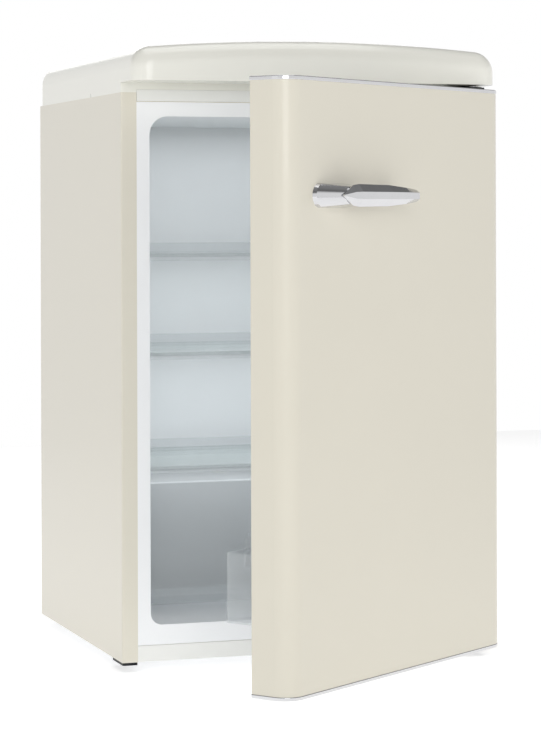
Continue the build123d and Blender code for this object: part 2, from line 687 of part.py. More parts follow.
COIL_RADIUS = 2.4
COIL_ROWS = 9
COIL_HALF = 205.0
COIL_Y = BACK_INNER - COIL_RADIUS - 0.2
COIL_BOTTOM = 290.0
COIL_PITCH = 55.0
coil_points = []
for row in range(COIL_ROWS):
    z = COIL_BOTTOM + row * COIL_PITCH
    direction = 1 if row % 2 == 0 else -1
    coil_points.append((-direction * COIL_HALF, COIL_Y, z))
    coil_points.append((direction * COIL_HALF, COIL_Y, z))
with BuildPart() as condenser_coil:
    tube_along(coil_points, 25, COIL_RADIUS)
save(condenser_coil, "condenser_coil")

with BuildPart() as wall_spacers:
    for x in (-180, 180):
        with Locations(Location((x, CABINET_DEPTH, 780), BACKWARDS)):
            Cone(14, 10, 10.5, align=(Align.CENTER, Align.CENTER, Align.MIN))
save(wall_spacers, "wall_spacers")

# ---- shelves ------------------------------------------------------------------------------------
SHELF_HALF = OPENING_HALF - 2.0
TRIM_DEPTH = 16.0
SHELF_TRIM_DROP = 11.0
REAR_TRIM_RISE = 12.0


def shelf(top, drop, name):
    """A glass plate with a clear front trim and a rear trim that has an upstand."""
    glass_low = top - 1.5 - GLASS
    with BuildPart() as plate:
        block(
            (-SHELF_HALF + 1, SHELF_FRONT + 4, glass_low),
            (SHELF_HALF - 1, SHELF_BACK - 4, glass_low + GLASS),
        )
        fillet(plate.edges().filter_by(Axis.Z), 6)
    save(plate, name)
    with BuildPart() as front:
        with BuildSketch(Plane.YZ.offset(-SHELF_HALF)) as nose:
            with BuildLine():
                Polyline(
                    (SHELF_FRONT, top - drop),
                    (SHELF_FRONT + 3, top - drop),
                    (SHELF_FRONT + 3, glass_low - 1.5),
                    (SHELF_FRONT + TRIM_DEPTH, glass_low - 1.5),
                    (SHELF_FRONT + TRIM_DEPTH, glass_low),
                    (SHELF_FRONT + 4, glass_low),
                    (SHELF_FRONT + 4, glass_low + GLASS),
                    (SHELF_FRONT + TRIM_DEPTH, glass_low + GLASS),
                    (SHELF_FRONT + TRIM_DEPTH, top),
                    (SHELF_FRONT, top),
                    close=True,
                )
            make_face()
        extrude(amount=2 * SHELF_HALF)
        fillet(front.edges().filter_by(Axis.X).group_by(Axis.Z)[-1].sort_by(Axis.Y)[0], 1.4)
    with BuildPart() as rear:
        with BuildSketch(Plane.YZ.offset(-SHELF_HALF)):
            with BuildLine():
                Polyline(
                    (SHELF_BACK, glass_low - 1.5),
                    (SHELF_BACK - TRIM_DEPTH, glass_low - 1.5),
                    (SHELF_BACK - TRIM_DEPTH, glass_low),
                    (SHELF_BACK - 4, glass_low),
                    (SHELF_BACK - 4, glass_low + GLASS),
                    (SHELF_BACK - TRIM_DEPTH, glass_low + GLASS),
                    (SHELF_BACK - TRIM_DEPTH, top),
                    (SHELF_BACK, top),
                    close=True,
                )
            make_face()
        extrude(amount=2 * SHELF_HALF)
        stop = SHELF_HALF - RUNNER_WIDTH - 1
        block((-stop, SHELF_BACK - 3, top), (stop, SHELF_BACK, top + REAR_TRIM_RISE))
    with BuildPart() as trims:
        add(front.part)
        add(rear.part)
    save(trims, f"{name}_trims")


shelf(UPPER_SHELF_TOP, SHELF_TRIM_DROP, "upper_shelf")
shelf(LOWER_SHELF_TOP, SHELF_TRIM_DROP, "lower_shelf")
shelf(CRISPER_COVER_TOP, 22.0, "crisper_cover")

DRAWER_WALL = 2.4
DRAWER_HALF_TOP = OPENING_HALF - RUNNER_WIDTH - 3.0
DRAWER_HALF_BOTTOM = DRAWER_HALF_TOP - 10.0
DRAWER_FRONT = SHELF_FRONT + 5.0
DRAWER_LEAN = 6.0
DRAWER_BACK = HUMP_FRONT - 6.0


def drawer_form(wall):
    """The drawer's tapering outer form, or its inside when shrunk by the wall."""
    with BuildPart() as form:
        for height, half, front in (
            (CRISPER_BOTTOM + wall, DRAWER_HALF_BOTTOM - wall, DRAWER_FRONT + DRAWER_LEAN + wall),
            (CRISPER_RIM + (0.01 if wall else 0), DRAWER_HALF_TOP - wall, DRAWER_FRONT + wall),
        ):
            back = DRAWER_BACK - wall
            with BuildSketch(level(height)):
                with Locations((0, (front + back) / 2)):
                    RectangleRounded(2 * half, back - front, 14 - wall)
        loft()
    return form.part


with BuildPart() as crisper_drawer:
    add(drawer_form(0))
    block(
        (-OPENING_HALF + 2, DRAWER_FRONT + 8, DRAWER_LEDGE_TOP + 0.4),
        (OPENING_HALF - 2, DRAWER_BACK - 2, DRAWER_LEDGE_TOP + 2.8),
    )
    add(drawer_form(DRAWER_WALL), mode=Mode.SUBTRACT)
    block((-70, DRAWER_FRONT - 9, CRISPER_RIM - 14), (70, DRAWER_FRONT + 1.5, CRISPER_RIM - 11))
save(crisper_drawer, "crisper_drawer")

# ---- thermostat and lamp ------------------------------------------------------------------------
BOX_FRONT = 150.0
BOX_BACK = 300.0
BOX_LOW = 684.0
BOX_HIGH = 752.0
BOX_DEPTH = 34.0
KNOB_Y = 255.0
KNOB_Z = 718.0
KNOB_RADIUS = 16.0
LAMP_Y = 190.0
BOX_X = OPENING_HALF - BOX_DEPTH
INWARDS = (0, -90, 0)

with BuildPart() as thermostat_housing:
    block((BOX_X, BOX_FRONT, BOX_LOW), (OPENING_HALF, BOX_BACK, BOX_HIGH))
    fillet(thermostat_housing.edges().group_by(Axis.X)[0], 6)
    block((BOX_X + 3, BOX_FRONT + 3, BOX_LOW + 3), (OPENING_HALF - 2, BOX_BACK - 3, BOX_HIGH - 3), Mode.SUBTRACT)
    block((BOX_X - 1, BOX_FRONT + 12, BOX_LOW + 12), (BOX_X + 5, KNOB_Y - 26, BOX_HIGH - 12), Mode.SUBTRACT)
    with Locations(Location((BOX_X, KNOB_Y, KNOB_Z), INWARDS)):
        Cylinder(3.6, 10, mode=Mode.SUBTRACT)
save(thermostat_housing, "thermostat_housing")

with BuildPart() as lamp_lens:
    block((BOX_X, BOX_FRONT + 12.2, BOX_LOW + 12.2), (BOX_X + 2, KNOB_Y - 26.2, BOX_HIGH - 12.2))
    rib_y = BOX_FRONT + 17
    while rib_y < KNOB_Y - 30:
        block((BOX_X - 1, rib_y, BOX_LOW + 14), (BOX_X, rib_y + 1.6, BOX_HIGH - 14))
        rib_y += 4.4
save(lamp_lens, "lamp_lens")

with BuildPart() as lamp_bulb:
    with Locations(Location((BOX_X + 18, LAMP_Y, KNOB_Z), (90, 0, 0))):
        Cylinder(7, 18, align=(Align.CENTER, Align.CENTER, Align.MIN))
        Sphere(10.5)
    with Locations(Location((BOX_X + 18, LAMP_Y - 17.9, KNOB_Z), (90, 0, 0))):
        Cylinder(8.5, 12, align=(Align.CENTER, Align.CENTER, Align.MIN))
save(lamp_bulb, "lamp_bulb")

with BuildPart() as thermostat_knob:
    with Locations(Location((BOX_X - 0.6, KNOB_Y, KNOB_Z), INWARDS)):
        Cylinder(KNOB_RADIUS, 9, align=(Align.CENTER, Align.CENTER, Align.MIN))
    fillet(thermostat_knob.edges().filter_by(GeomType.CIRCLE).group_by(Axis.X)[0], 2)
    with Locations(Location((BOX_X - 5, KNOB_Y, KNOB_Z), INWARDS)):
        with PolarLocations(KNOB_RADIUS, 18):
            Cylinder(1.2, 12, mode=Mode.SUBTRACT)
    with Locations(Location((BOX_X - 0.7, KNOB_Y, KNOB_Z), INWARDS)):
        Cylinder(3.5, 5.2, align=(Align.CENTER, Align.CENTER, Align.MAX))
save(thermostat_knob, "thermostat_knob")

# ---- door ---------------------------------------------------------------------------------------
BUSH_RADIUS = 6.0
BUSH_LENGTH = 19.0
DOOR_LINER = 1.5
RETURN = 11.0
RIDGE_LEFT = DOOR_LEFT + DYKE_INSET
RIDGE_RIGHT = DOOR_RIGHT - DYKE_INSET
RIDGE_BOTTOM = DOOR_BOTTOM + 58.0
RIDGE_TOP = DOOR_TOP - 55.0
RIDGE_BACK = DOOR_BACK + DYKE_HEIGHT
RECESS_LEFT = RIDGE_LEFT + DYKE_WIDTH
RECESS_RIGHT = RIDGE_RIGHT - DYKE_WIDTH
GASKET_LOW = 41.0
GASKET_HIGH = 806.0
GASKET_TIP = DOOR_BACK + 8.4


def door_outline(plane, grow, back):
    """Plan of the door: round front corners, small back corners, grown outwards or shrunk."""
    left = DOOR_LEFT - grow
    right = DOOR_RIGHT + grow
    front = DOOR_FRONT - grow
    with BuildSketch(plane) as outline:
        with Locations(((left + right) / 2, (front + back) / 2)):
            Rectangle(right - left, back - front)
        fillet(outline.vertices().group_by(Axis.Y)[0], DOOR_ROUND + grow)
        fillet(outline.vertices().group_by(Axis.Y)[-1], 1.2)
    return outline.sketch


def ring_on_door(y, left, right, low, high, width, corner):
    """A rectangular frame facing the cabinet, drawn on the door at one depth."""
    middle = ((left + right) / 2, (low + high) / 2)
    with BuildSketch(on_door(Plane.XZ.offset(-y))) as ring:
        with Locations(middle):
            RectangleRounded(right - left, high - low, corner)
            RectangleRounded(
                right - left - 2 * width, high - low - 2 * width, max(corner - width, 4), mode=Mode.SUBTRACT
            )
    return ring.sketch


handle_screw_x = (-440.0, -412.0, -300.0)
HANDLE_Z = 674.0
handle_screw_places = [
    door_frame.location * Location((x, DOOR_FRONT + SHEET, HANDLE_Z), BACKWARDS) for x in handle_screw_x
]
with BuildPart() as door_skin:
    skin_path = [
        (DOOR_LEFT + RETURN, DOOR_BACK - SHEET / 2),
        (DOOR_LEFT + SHEET / 2, DOOR_BACK - SHEET / 2),
        (DOOR_LEFT + SHEET / 2, DOOR_FRONT + SHEET / 2),
        (DOOR_RIGHT - SHEET / 2, DOOR_FRONT + SHEET / 2),
        (DOOR_RIGHT - SHEET / 2, DOOR_BACK - SHEET / 2),
        (DOOR_RIGHT - RETURN, DOOR_BACK - SHEET / 2),
    ]
    bends = [1.6, DOOR_ROUND - SHEET / 2, DOOR_ROUND - SHEET / 2, 1.6]
    bent_sheet(skin_path, bends, door_level(SKIN_BOTTOM), SKIN_TOP - SKIN_BOTTOM)
    with Locations(*handle_screw_places):
        Cylinder(SCREW_RADIUS + 0.1, 4, mode=Mode.SUBTRACT)
save(door_skin, "door_skin")

save(screws_at(handle_screw_places, 4.5, 2.4, 9.0), "handle_screws")

with BuildPart() as door_foam:
    foam_sketch = door_outline(door_level(SKIN_BOTTOM), -SHEET, DOOR_BACK - SHEET - 0.4)
    extrude(foam_sketch, amount=SKIN_TOP - SKIN_BOTTOM)
    door_block(
        (DOOR_LEFT + RETURN + 1, DOOR_BACK - 2, SKIN_BOTTOM + 1),
        (DOOR_RIGHT - RETURN - 1, DOOR_BACK, SKIN_TOP - 1),
    )
    wall = DOOR_LINER
    ridge_fill = ring_on_door(
        DOOR_BACK - 1,
        RIDGE_LEFT + wall,
        RIDGE_RIGHT - wall,
        RIDGE_BOTTOM + wall,
        RIDGE_TOP - wall,
        DYKE_WIDTH - 2 * wall,
        16,
    )
    extrude(ridge_fill, amount=-(DYKE_HEIGHT - wall + 1))
    with Locations(*[door_frame.location * Location((0, 0, z)) for z in (SKIN_BOTTOM, SKIN_TOP)]):
        Cylinder(BUSH_RADIUS + 0.2, 2 * BUSH_LENGTH, mode=Mode.SUBTRACT)
    with Locations(*handle_screw_places):
        Cylinder(5.5, 7, mode=Mode.SUBTRACT)
save(door_foam, "door_foam")

PEG_Y = DOOR_BACK + 18.0
PEG_RADIUS = 4.0
PEG_RISE = 30.0
BIN_FLOORS = (100.6, 352.0, 604.0)
BIN_RIMS = (194.4, 410.0, 662.0)
with BuildPart() as door_liner:
    door_block(
        (DOOR_LEFT + 6, DOOR_BACK, SKIN_BOTTOM),
        (DOOR_RIGHT - 6, DOOR_BACK + DOOR_LINER, SKIN_TOP),
    )
    ridge = ring_on_door(
        DOOR_BACK, RIDGE_LEFT, RIDGE_RIGHT, RIDGE_BOTTOM, RIDGE_TOP, DYKE_WIDTH, 18
    )
    extrude(ridge, amount=-DYKE_HEIGHT)
    ridge_hollow = ring_on_door(
        DOOR_BACK - 1,
        RIDGE_LEFT + wall,
        RIDGE_RIGHT - wall,
        RIDGE_BOTTOM + wall,
        RIDGE_TOP - wall,
        DYKE_WIDTH - 2 * wall,
        16,
    )
    extrude(ridge_hollow, amount=-(DYKE_HEIGHT - wall + 1), mode=Mode.SUBTRACT)
    for floor in BIN_FLOORS:
        for x, turn in ((RECESS_LEFT, 90), (RECESS_RIGHT, -90)):
            with Locations(door_frame.location * Location((x, PEG_Y, floor + PEG_RISE), (0, turn, 0))):
                Cylinder(PEG_RADIUS, 7.5, align=(Align.CENTER, Align.CENTER, Align.MIN))
save(door_liner, "door_liner")

with BuildPart() as door_gasket:
    gasket_left = DOOR_LEFT + GASKET_INSET + 1
    gasket_right = DOOR_RIGHT - GASKET_INSET - 1
    seal_back = DOOR_BACK + DOOR_LINER
    for y, depth, inset in ((seal_back, 3.0, 2.0), (seal_back + 2.9, 1.6, 4.0), (seal_back + 4.4, 2.5, 0.0)):
        band = ring_on_door(
            y,
            gasket_left + inset,
            gasket_right - inset,
            GASKET_LOW + inset,
            GASKET_HIGH - inset,
            GASKET_WIDTH - 2 * inset,
            12,
        )
        extrude(band, amount=-depth)
save(door_gasket, "door_gasket")


def end_trim(low, name):
    """The bright band that wraps the front and both edges of the door at one end."""
    with BuildPart() as trim:
        extrude(door_outline(door_level(low), TRIM_PROUD, DOOR_BACK), amount=TRIM_HEIGHT)
        fillet(trim.edges().filter_by(GeomType.CIRCLE).filter_by(lambda e: e.radius > DOOR_ROUND), 1.2)
        inner = door_outline(door_level(low), -TRIM_BAND, DOOR_BACK + 5)
        extrude(inner, amount=TRIM_HEIGHT, mode=Mode.SUBTRACT)
    save(trim, name)


end_trim(SKIN_TOP, "door_top_trim")
end_trim(DOOR_BOTTOM, "door_bottom_trim")

with BuildPart() as door_end_caps:
    for low in (SKIN_TOP, DOOR_BOTTOM + 1.2):
        plan = door_outline(door_level(low), -TRIM_BAND - 0.1, DOOR_BACK - 0.2)
        extrude(plan, amount=TRIM_HEIGHT - 1.2)
    with Locations(*[door_frame.location * Location((0, 0, z)) for z in (SKIN_TOP, SKIN_BOTTOM)]):
        Cylinder(BUSH_RADIUS + 0.1, 20, mode=Mode.SUBTRACT)
save(door_end_caps, "door_end_caps")

with BuildPart() as hinge_bushes:
    for z, up in ((DOOR_TOP, -1), (DOOR_BOTTOM, 1)):
        align = (Align.CENTER, Align.CENTER, Align.MAX if up < 0 else Align.MIN)
        with Locations(door_frame.location * Location((0, 0, z))):
            Cylinder(BUSH_RADIUS, BUSH_LENGTH, align=align)
            Cylinder(BUSH_RADIUS + 3, 1.2, align=align)
            Cylinder(PIN_RADIUS + PIN_CLEARANCE, 2 * BUSH_LENGTH + 4, mode=Mode.SUBTRACT)
save(hinge_bushes, "hinge_bushes")

# ---- handle -------------------------------------------------------------------------------------
POD_LENGTH = 89.0
POD_HEIGHT = 33.0
POD_X = -427.5
with BuildPart() as handle_pod:
    for y, x, length, height in (
        (DOOR_FRONT, POD_X, POD_LENGTH, POD_HEIGHT),
        (DOOR_FRONT - 5, POD_X + 1, POD_LENGTH - 3, POD_HEIGHT - 1.5),
        (DOOR_FRONT - 28, POD_X + 18, 50, 24),
    ):
        with BuildSketch(on_door(Plane.XZ.offset(-y))):
            with Locations((x, HANDLE_Z)):
                SlotOverall(length, height)
    loft(ruled=True)
    with Locations(*handle_screw_places[:2]):
        Cylinder(SCREW_RADIUS, 18, mode=Mode.SUBTRACT)
save(handle_pod, "handle_pod")

GRIP_STATIONS = (
    # place along the door, front, back, half height of the front facet, half height of the grip
    (-441.0, -66.0, -63.9, 0.6, 1.4),
    (-428.0, -76.5, -63.9, 4.4, 13.6),
    (-417.0, -80.0, -63.9, 4.8, 15.0),
    (-345.0, -81.0, -63.9, 4.8, 14.2),
    (-300.0, -79.6, -64.4, 4.6, 11.0),
    (-274.0, -78.0, -66.0, 4.2, 8.2),
)
with BuildPart() as handle_grip:
    for x, front, back, facet, half in GRIP_STATIONS:
        waist = front + (back - front) * 0.45
        heel = max(half - 4.0, half * 0.6)
        with BuildSketch(on_door(Plane.YZ.offset(x))):
            with BuildLine():
                Polyline(
                    (front, HANDLE_Z - facet),
                    (front, HANDLE_Z + facet),
                    (waist, HANDLE_Z + half),
                    (back, HANDLE_Z + heel),
                    (back, HANDLE_Z - heel),
                    (waist, HANDLE_Z - half),
                    close=True,
                )
            make_face()
    loft(ruled=True)
save(handle_grip, "handle_grip")

with BuildPart() as handle_post:
    for y, length, height in ((DOOR_FRONT, 24, 17), (DOOR_FRONT - 22, 15, 11), (-64.3, 18, 13)):
        with BuildSketch(on_door(Plane.XZ.offset(-y))):
            with Locations((handle_screw_x[2], HANDLE_Z)):
                SlotOverall(length, height)
    loft(ruled=True)
    with Locations(handle_screw_places[2]):
        Cylinder(SCREW_RADIUS, 18, mode=Mode.SUBTRACT)
save(handle_post, "handle_post")

# ---- door bins ----------------------------------------------------------------------------------
BIN_WALL = 2.2
BIN_GAP = 2.0
BIN_STEP = RIDGE_BACK + 2.0
GUARD_RADIUS = 3.4
GUARD_TOP = 214.0


def door_bin(floor, rim, left, right, reach, name, guarded=False):
    """A clear bin: its narrow back hangs between the ridges, its wide front stands in front of them."""
    back_floor = max(floor, RIDGE_BOTTOM + DYKE_WIDTH + BIN_GAP)
    back_low = (RECESS_LEFT + BIN_GAP, DOOR_BACK + 4, back_floor)
    back_high = (RECESS_RIGHT - BIN_GAP, BIN_STEP + 4, rim)
    with BuildPart() as tray:
        with BuildSketch(door_level(floor)):
            with Locations(((left + right) / 2, (BIN_STEP + reach) / 2)):
                RectangleRounded(right - left, reach - BIN_STEP, 9.5)
        extrude(amount=rim - floor)
        door_block(back_low, back_high)
        with BuildSketch(door_level(floor + BIN_WALL)) as hollow:
            with Locations(((left + right) / 2, (BIN_STEP + reach) / 2)):
                RectangleRounded(right - left - 2 * BIN_WALL, reach - BIN_STEP - 2 * BIN_WALL, 7.3)
        extrude(hollow.sketch, amount=rim - floor, mode=Mode.SUBTRACT)
        door_block(
            (back_low[0] + BIN_WALL, back_low[1] + BIN_WALL, back_floor + BIN_WALL),
            (back_high[0] - BIN_WALL, BIN_STEP + 3, rim + 1),
            Mode.SUBTRACT,
        )
        for near, far in (
            (back_low[0] - 1, RECESS_LEFT + 8),
            (RECESS_RIGHT - 8, back_high[0] + 1),
        ):
            door_block(
                (near, PEG_Y - PEG_RADIUS - 0.35, back_floor - 1),
                (far, PEG_Y + PEG_RADIUS + 0.35, floor + PEG_RISE + PEG_RADIUS + 0.35),
                Mode.SUBTRACT,
            )
        if guarded:
            for x in (left + 46, right - 46):
                y = reach - BIN_WALL - GUARD_RADIUS - 0.4
                with Locations(door_frame.location * Location((x, y, rim - 24))):
                    Cylinder(GUARD_RADIUS + 2, 20, align=(Align.CENTER, Align.CENTER, Align.MIN))
                with Locations(door_frame.location * Location((x, y, rim - 22))):
                    Cylinder(
                        GUARD_RADIUS + 0.1,
                        30,
                        align=(Align.CENTER, Align.CENTER, Align.MIN),
                        mode=Mode.SUBTRACT,
                    )
            for step in range(6):
                z = floor + 26 + step * 9
                door_block((left - 0.7, reach - 26, z), (left + 0.5, reach - 14, z + 2))
    save(tray, name)


BOTTLE_LEFT = -471.0
BOTTLE_RIGHT = -30.0
BOTTLE_REACH = 111.0
door_bin(
    BIN_FLOORS[0], BIN_RIMS[0], BOTTLE_LEFT, BOTTLE_RIGHT, BOTTLE_REACH, "bottle_bin", guarded=True
)
door_bin(BIN_FLOORS[1], BIN_RIMS[1], -448.0, -53.0, 80.0, "middle_bin")
door_bin(BIN_FLOORS[2], BIN_RIMS[2], -448.0, -53.0, 80.0, "upper_bin")

guard_y = BOTTLE_REACH - BIN_WALL - GUARD_RADIUS - 0.4
guard_foot = BIN_RIMS[0] - 21.8
guard_route = [
    Vector(BOTTLE_LEFT + 46, guard_y, guard_foot),
    Vector(BOTTLE_LEFT + 46, guard_y, GUARD_TOP),
    Vector(BOTTLE_RIGHT - 46, guard_y, GUARD_TOP),
    Vector(BOTTLE_RIGHT - 46, guard_y, guard_foot),
]
with BuildPart() as bottle_guard:
    tube_along([door_frame.from_local_coords(p) for p in guard_route], 10, GUARD_RADIUS)
save(bottle_guard, "bottle_guard")
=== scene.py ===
import json
import math

import bmesh
import bpy
from mathutils import Matrix, Vector


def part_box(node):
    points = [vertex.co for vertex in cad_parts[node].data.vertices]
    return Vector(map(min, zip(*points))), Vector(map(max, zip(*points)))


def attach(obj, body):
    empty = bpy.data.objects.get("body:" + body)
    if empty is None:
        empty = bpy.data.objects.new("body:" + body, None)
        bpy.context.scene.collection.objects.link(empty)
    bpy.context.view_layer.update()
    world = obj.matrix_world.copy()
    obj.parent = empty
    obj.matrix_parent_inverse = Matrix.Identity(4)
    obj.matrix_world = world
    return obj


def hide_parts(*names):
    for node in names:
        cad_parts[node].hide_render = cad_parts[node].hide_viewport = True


bl_info = {
    "name": "Mini fridge finishes",
    "version": (1, 0, 0),
    "blender": (4, 5, 0),
    "location": "3D View > Sidebar > Mini fridge",
    "description": "Gives the packed mini fridge its finishes, fine pieces, lights and camera",
    "category": "Object",
}

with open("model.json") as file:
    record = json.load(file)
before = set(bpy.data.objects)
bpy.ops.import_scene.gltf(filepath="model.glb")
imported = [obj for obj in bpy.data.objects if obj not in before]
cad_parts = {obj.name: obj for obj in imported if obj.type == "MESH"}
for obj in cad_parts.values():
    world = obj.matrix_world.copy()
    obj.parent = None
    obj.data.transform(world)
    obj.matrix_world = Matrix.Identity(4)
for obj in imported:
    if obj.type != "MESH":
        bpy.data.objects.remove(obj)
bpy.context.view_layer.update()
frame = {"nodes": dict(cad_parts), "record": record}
NODES = frame["nodes"]

# The hinge axis that the door turns on, and how far the door stands open.
HINGE_X = 0.2505
HINGE_Y = -0.038
DOOR_ANGLE = math.radians(36.18)

# The closed door's edges from the hinge axis, and the heights between which its seal runs.
DOOR_LEFT = -0.5245
DOOR_RIGHT = 0.0235
SEAL_LOW = 0.041
SEAL_HIGH = 0.806

# Where the camera stands, how it is turned, and how far its frame is shifted down.
CAMERA_PLACE = (-1.2403, -3.5406, 0.6461)
CAMERA_YAW = math.radians(18.56)
CAMERA_ROLL = math.radians(-0.17)
CAMERA_SHIFT = -0.2102

# Brightness of the surroundings by the height that a direction rises to, from the horizon at 0.
SKY_LEVELS = ((0.0, 0.95), (0.22, 0.95), (0.42, 0.16), (0.75, 0.26))
SKY_STRENGTH = 0.98
FLOOR_GLOW = 0.6
FLOOR_HALF = 3.6

# Each soft box's name, place, side length and share of the key power.
SOFT_BOXES = (
    ("front_box", (-0.7, -3.4, 1.6), 1.8, 1.7),
    ("left_box", (-3.0, -1.4, 1.2), 1.6, 0.08),
    ("top_box", (0.0, 0.2, 2.8), 1.8, 1.2),
    ("back_box", (0.6, 3.2, 1.6), 1.8, 0.7),
)
LIGHT_AIM = (0, 0.1, 0.45)

# The height of the light in each compartment and its share of the lamp power.
INSIDE_LIGHTS = ((0.780, 1.0), (0.585, 0.8), (0.440, 0.8), (0.262, 0.5))
INSIDE_COLOUR = (0.93, 0.97, 1.0)


def srgb(red, green, blue):
    """Linear colour of an everyday 0 to 255 colour."""
    def linear(level):
        share = level / 255
        return share / 12.92 if share <= 0.04045 else ((share + 0.055) / 1.055) ** 2.4

    return (linear(red), linear(green), linear(blue))


# ---- shader tools -------------------------------------------------------------------------------
class Wire:
    """A number that varies over a surface; arithmetic on it adds Math nodes."""

    def __init__(self, finish, socket):
        self.finish = finish
        self.socket = socket

    def maths(self, operation, first, second):
        node = self.finish.add("ShaderNodeMath", {"operation": operation}, {0: first, 1: second})
        return Wire(self.finish, node.outputs[0])

    def __add__(self, other):
        return self.maths("ADD", self, other)

    def __radd__(self, other):
        return self.maths("ADD", other, self)

    def __sub__(self, other):
        return self.maths("SUBTRACT", self, other)

    def __rsub__(self, other):
        return self.maths("SUBTRACT", other, self)

    def __mul__(self, other):
        return self.maths("MULTIPLY", self, other)

    def __rmul__(self, other):
        return self.maths("MULTIPLY", other, self)


class NodeMaker:
    """Adds nodes to one empty node tree."""

    def __init__(self, owner):
        owner.use_nodes = True
        self.tree = owner.node_tree
        self.tree.nodes.clear()

    def add(self, kind, settings=None, values=None):
        """A node with its settings made first, then its sockets' values or links."""
        node = self.tree.nodes.new(kind)
        for key, setting in (settings or {}).items():
            if key == "stops":
                ramp = node.color_ramp.elements
                while len(ramp) < len(setting):
                    ramp.new(0.5)
                for element, (position, colour) in zip(ramp, setting):
                    element.position = position
                    element.color = (*colour, 1)
            else:
                setattr(node, key, setting)
        for key, value in (values or {}).items():
            self.feed(node, key, value)
        return node

    def feed(self, node, key, value):
        """Gives one input of a node its value or its link."""
        socket = node.inputs[key]
        if isinstance(value, Wire):
            self.tree.links.new(value.socket, socket)
        elif isinstance(value, bpy.types.NodeSocket):
            self.tree.links.new(value, socket)
        elif isinstance(value, tuple) and len(value) == 3 and socket.type == "RGBA":
            socket.default_value = (*value, 1)
        else:
            socket.default_value = value


class Finish(NodeMaker):
    """One node material with a Principled shader."""

    def __init__(self, name, **constants):
        self.material = bpy.data.materials.new(name)
        super().__init__(self.material)
        self.shader = self.add("ShaderNodeBsdfPrincipled", {}, constants)
        self.add("ShaderNodeOutputMaterial", {}, {"Surface": self.shader.outputs[0]})
        place = self.add("ShaderNodeTexCoord")
        self.place = place.outputs["Object"]

    def stretched(self, stretch):
        """Object coordinates scaled by a different amount along each axis."""
        node = self.add(
            "ShaderNodeVectorMath", {"operation": "MULTIPLY"}, {0: self.place, 1: stretch}
        )
        return node.outputs[0]

    def noise(self, scale, detail=2.0, stretch=None):
        """Soft noise from 0 to 1, with scale in cells to the metre."""
        place = self.stretched(stretch) if stretch else self.place
        node = self.add(
            "ShaderNodeTexNoise", {}, {"Vector": place, "Scale": scale, "Detail": detail}
        )
        return Wire(self, node.outputs[0])

    def cells(self, scale):
        """Random grey for each crystal-like cell."""
        node = self.add("ShaderNodeTexVoronoi", {}, {"Vector": self.place, "Scale": scale})
        split = self.add("ShaderNodeSeparateColor", {}, {0: node.outputs["Color"]})
        return Wire(self, split.outputs[0])

    def tint(self, mask, low, high):
        """Base colour that runs from low to high with a mask."""
        node = self.add(
            "ShaderNodeMix",
            {"data_type": "RGBA", "clamp_factor": True},
            {0: mask, 6: low, 7: high},
        )
        self.feed(self.shader, "Base Color", node.outputs[2])

    def roughness(self, value):
        self.feed(self.shader, "Roughness", value)

    def relief(self, height, depth):
        """Small relief; depth is the height in metres that the mask stands for."""
        node = self.add("ShaderNodeBump", {}, {"Height": height, "Distance": depth, "Strength": 1.0})
        self.feed(self.shader, "Normal", node.outputs[0])


def shade(colour, amount):
    """The same colour, lighter or darker."""
    return tuple(min(1.0, part * amount) for part in colour)


def painted(name, colour, gloss=0.30, coat=0.35):
    """Sprayed stove enamel: faint orange peel under a clear gloss."""
    made = Finish(
        name, **{"Coat Weight": coat, "Coat Roughness": 0.06, "Specular IOR Level": 0.5}
    )
    peel = made.noise(420.0, 1.0)
    cloud = made.noise(5.0, 3.0)
    made.tint(cloud, shade(colour, 0.985), shade(colour, 1.015))
    made.roughness(gloss + 0.05 * cloud)
    made.relief(peel, 0.00002)
    return made.material


def moulded(name, colour, gloss=0.42, grain=900.0, depth=0.00003):
    """Moulded plastic with a fine spark-eroded grain."""
    made = Finish(name, **{"Specular IOR Level": 0.5})
    fine = made.noise(grain, 3.0)
    flow = made.noise(7.0, 2.0)
    made.tint(flow, shade(colour, 0.975), shade(colour, 1.02))
    made.roughness(gloss + 0.08 * fine)
    made.relief(fine, depth)
    return made.material


def liner_sheet(name, colour):
    """Thermoformed sheet: glossy, with the slow waves that forming leaves."""
    made = Finish(name, **{"Coat Weight": 0.15, "Coat Roughness": 0.12})
    wave = made.noise(14.0, 2.0)
    fine = made.noise(650.0, 2.0)
    made.tint(wave, shade(colour, 0.985), shade(colour, 1.01))
    made.roughness(0.28 + 0.08 * fine)
    made.relief(wave + 0.06 * fine, 0.00025)
    return made.material


def plated(name, colour, spangle=160.0, gloss=0.38):
    """Zinc-plated sheet with its crystal spangle."""
    made = Finish(name, **{"Metallic": 1.0})
    crystal = made.cells(spangle)
    made.tint(crystal, shade(colour, 0.84), shade(colour, 1.1))
    made.roughness(gloss + 0.14 * crystal)
    made.relief(made.noise(1500.0, 2.0), 0.00001)
    return made.material


def turned(name, colour, gloss=0.22):
    """Bright machined steel with fine tool lines."""
    made = Finish(name, **{"Metallic": 1.0})
    line = made.noise(300.0, 2.0, (1.0, 1.0, 14.0))
    made.tint(line, shade(colour, 0.88), shade(colour, 1.08))
    made.roughness(gloss + 0.16 * line)
    made.relief(line, 0.00002)
    return made.material


def chromed(name, colour):
    """Bright chrome plate with the faint haze that handling leaves."""
    made = Finish(name, **{"Metallic": 1.0})
    haze = made.noise(35.0, 3.0)
    made.tint(haze, shade(colour, 0.97), shade(colour, 1.03))
    made.roughness(0.05 + 0.07 * haze)
    made.relief(made.noise(60.0, 1.0), 0.00002)
    return made.material


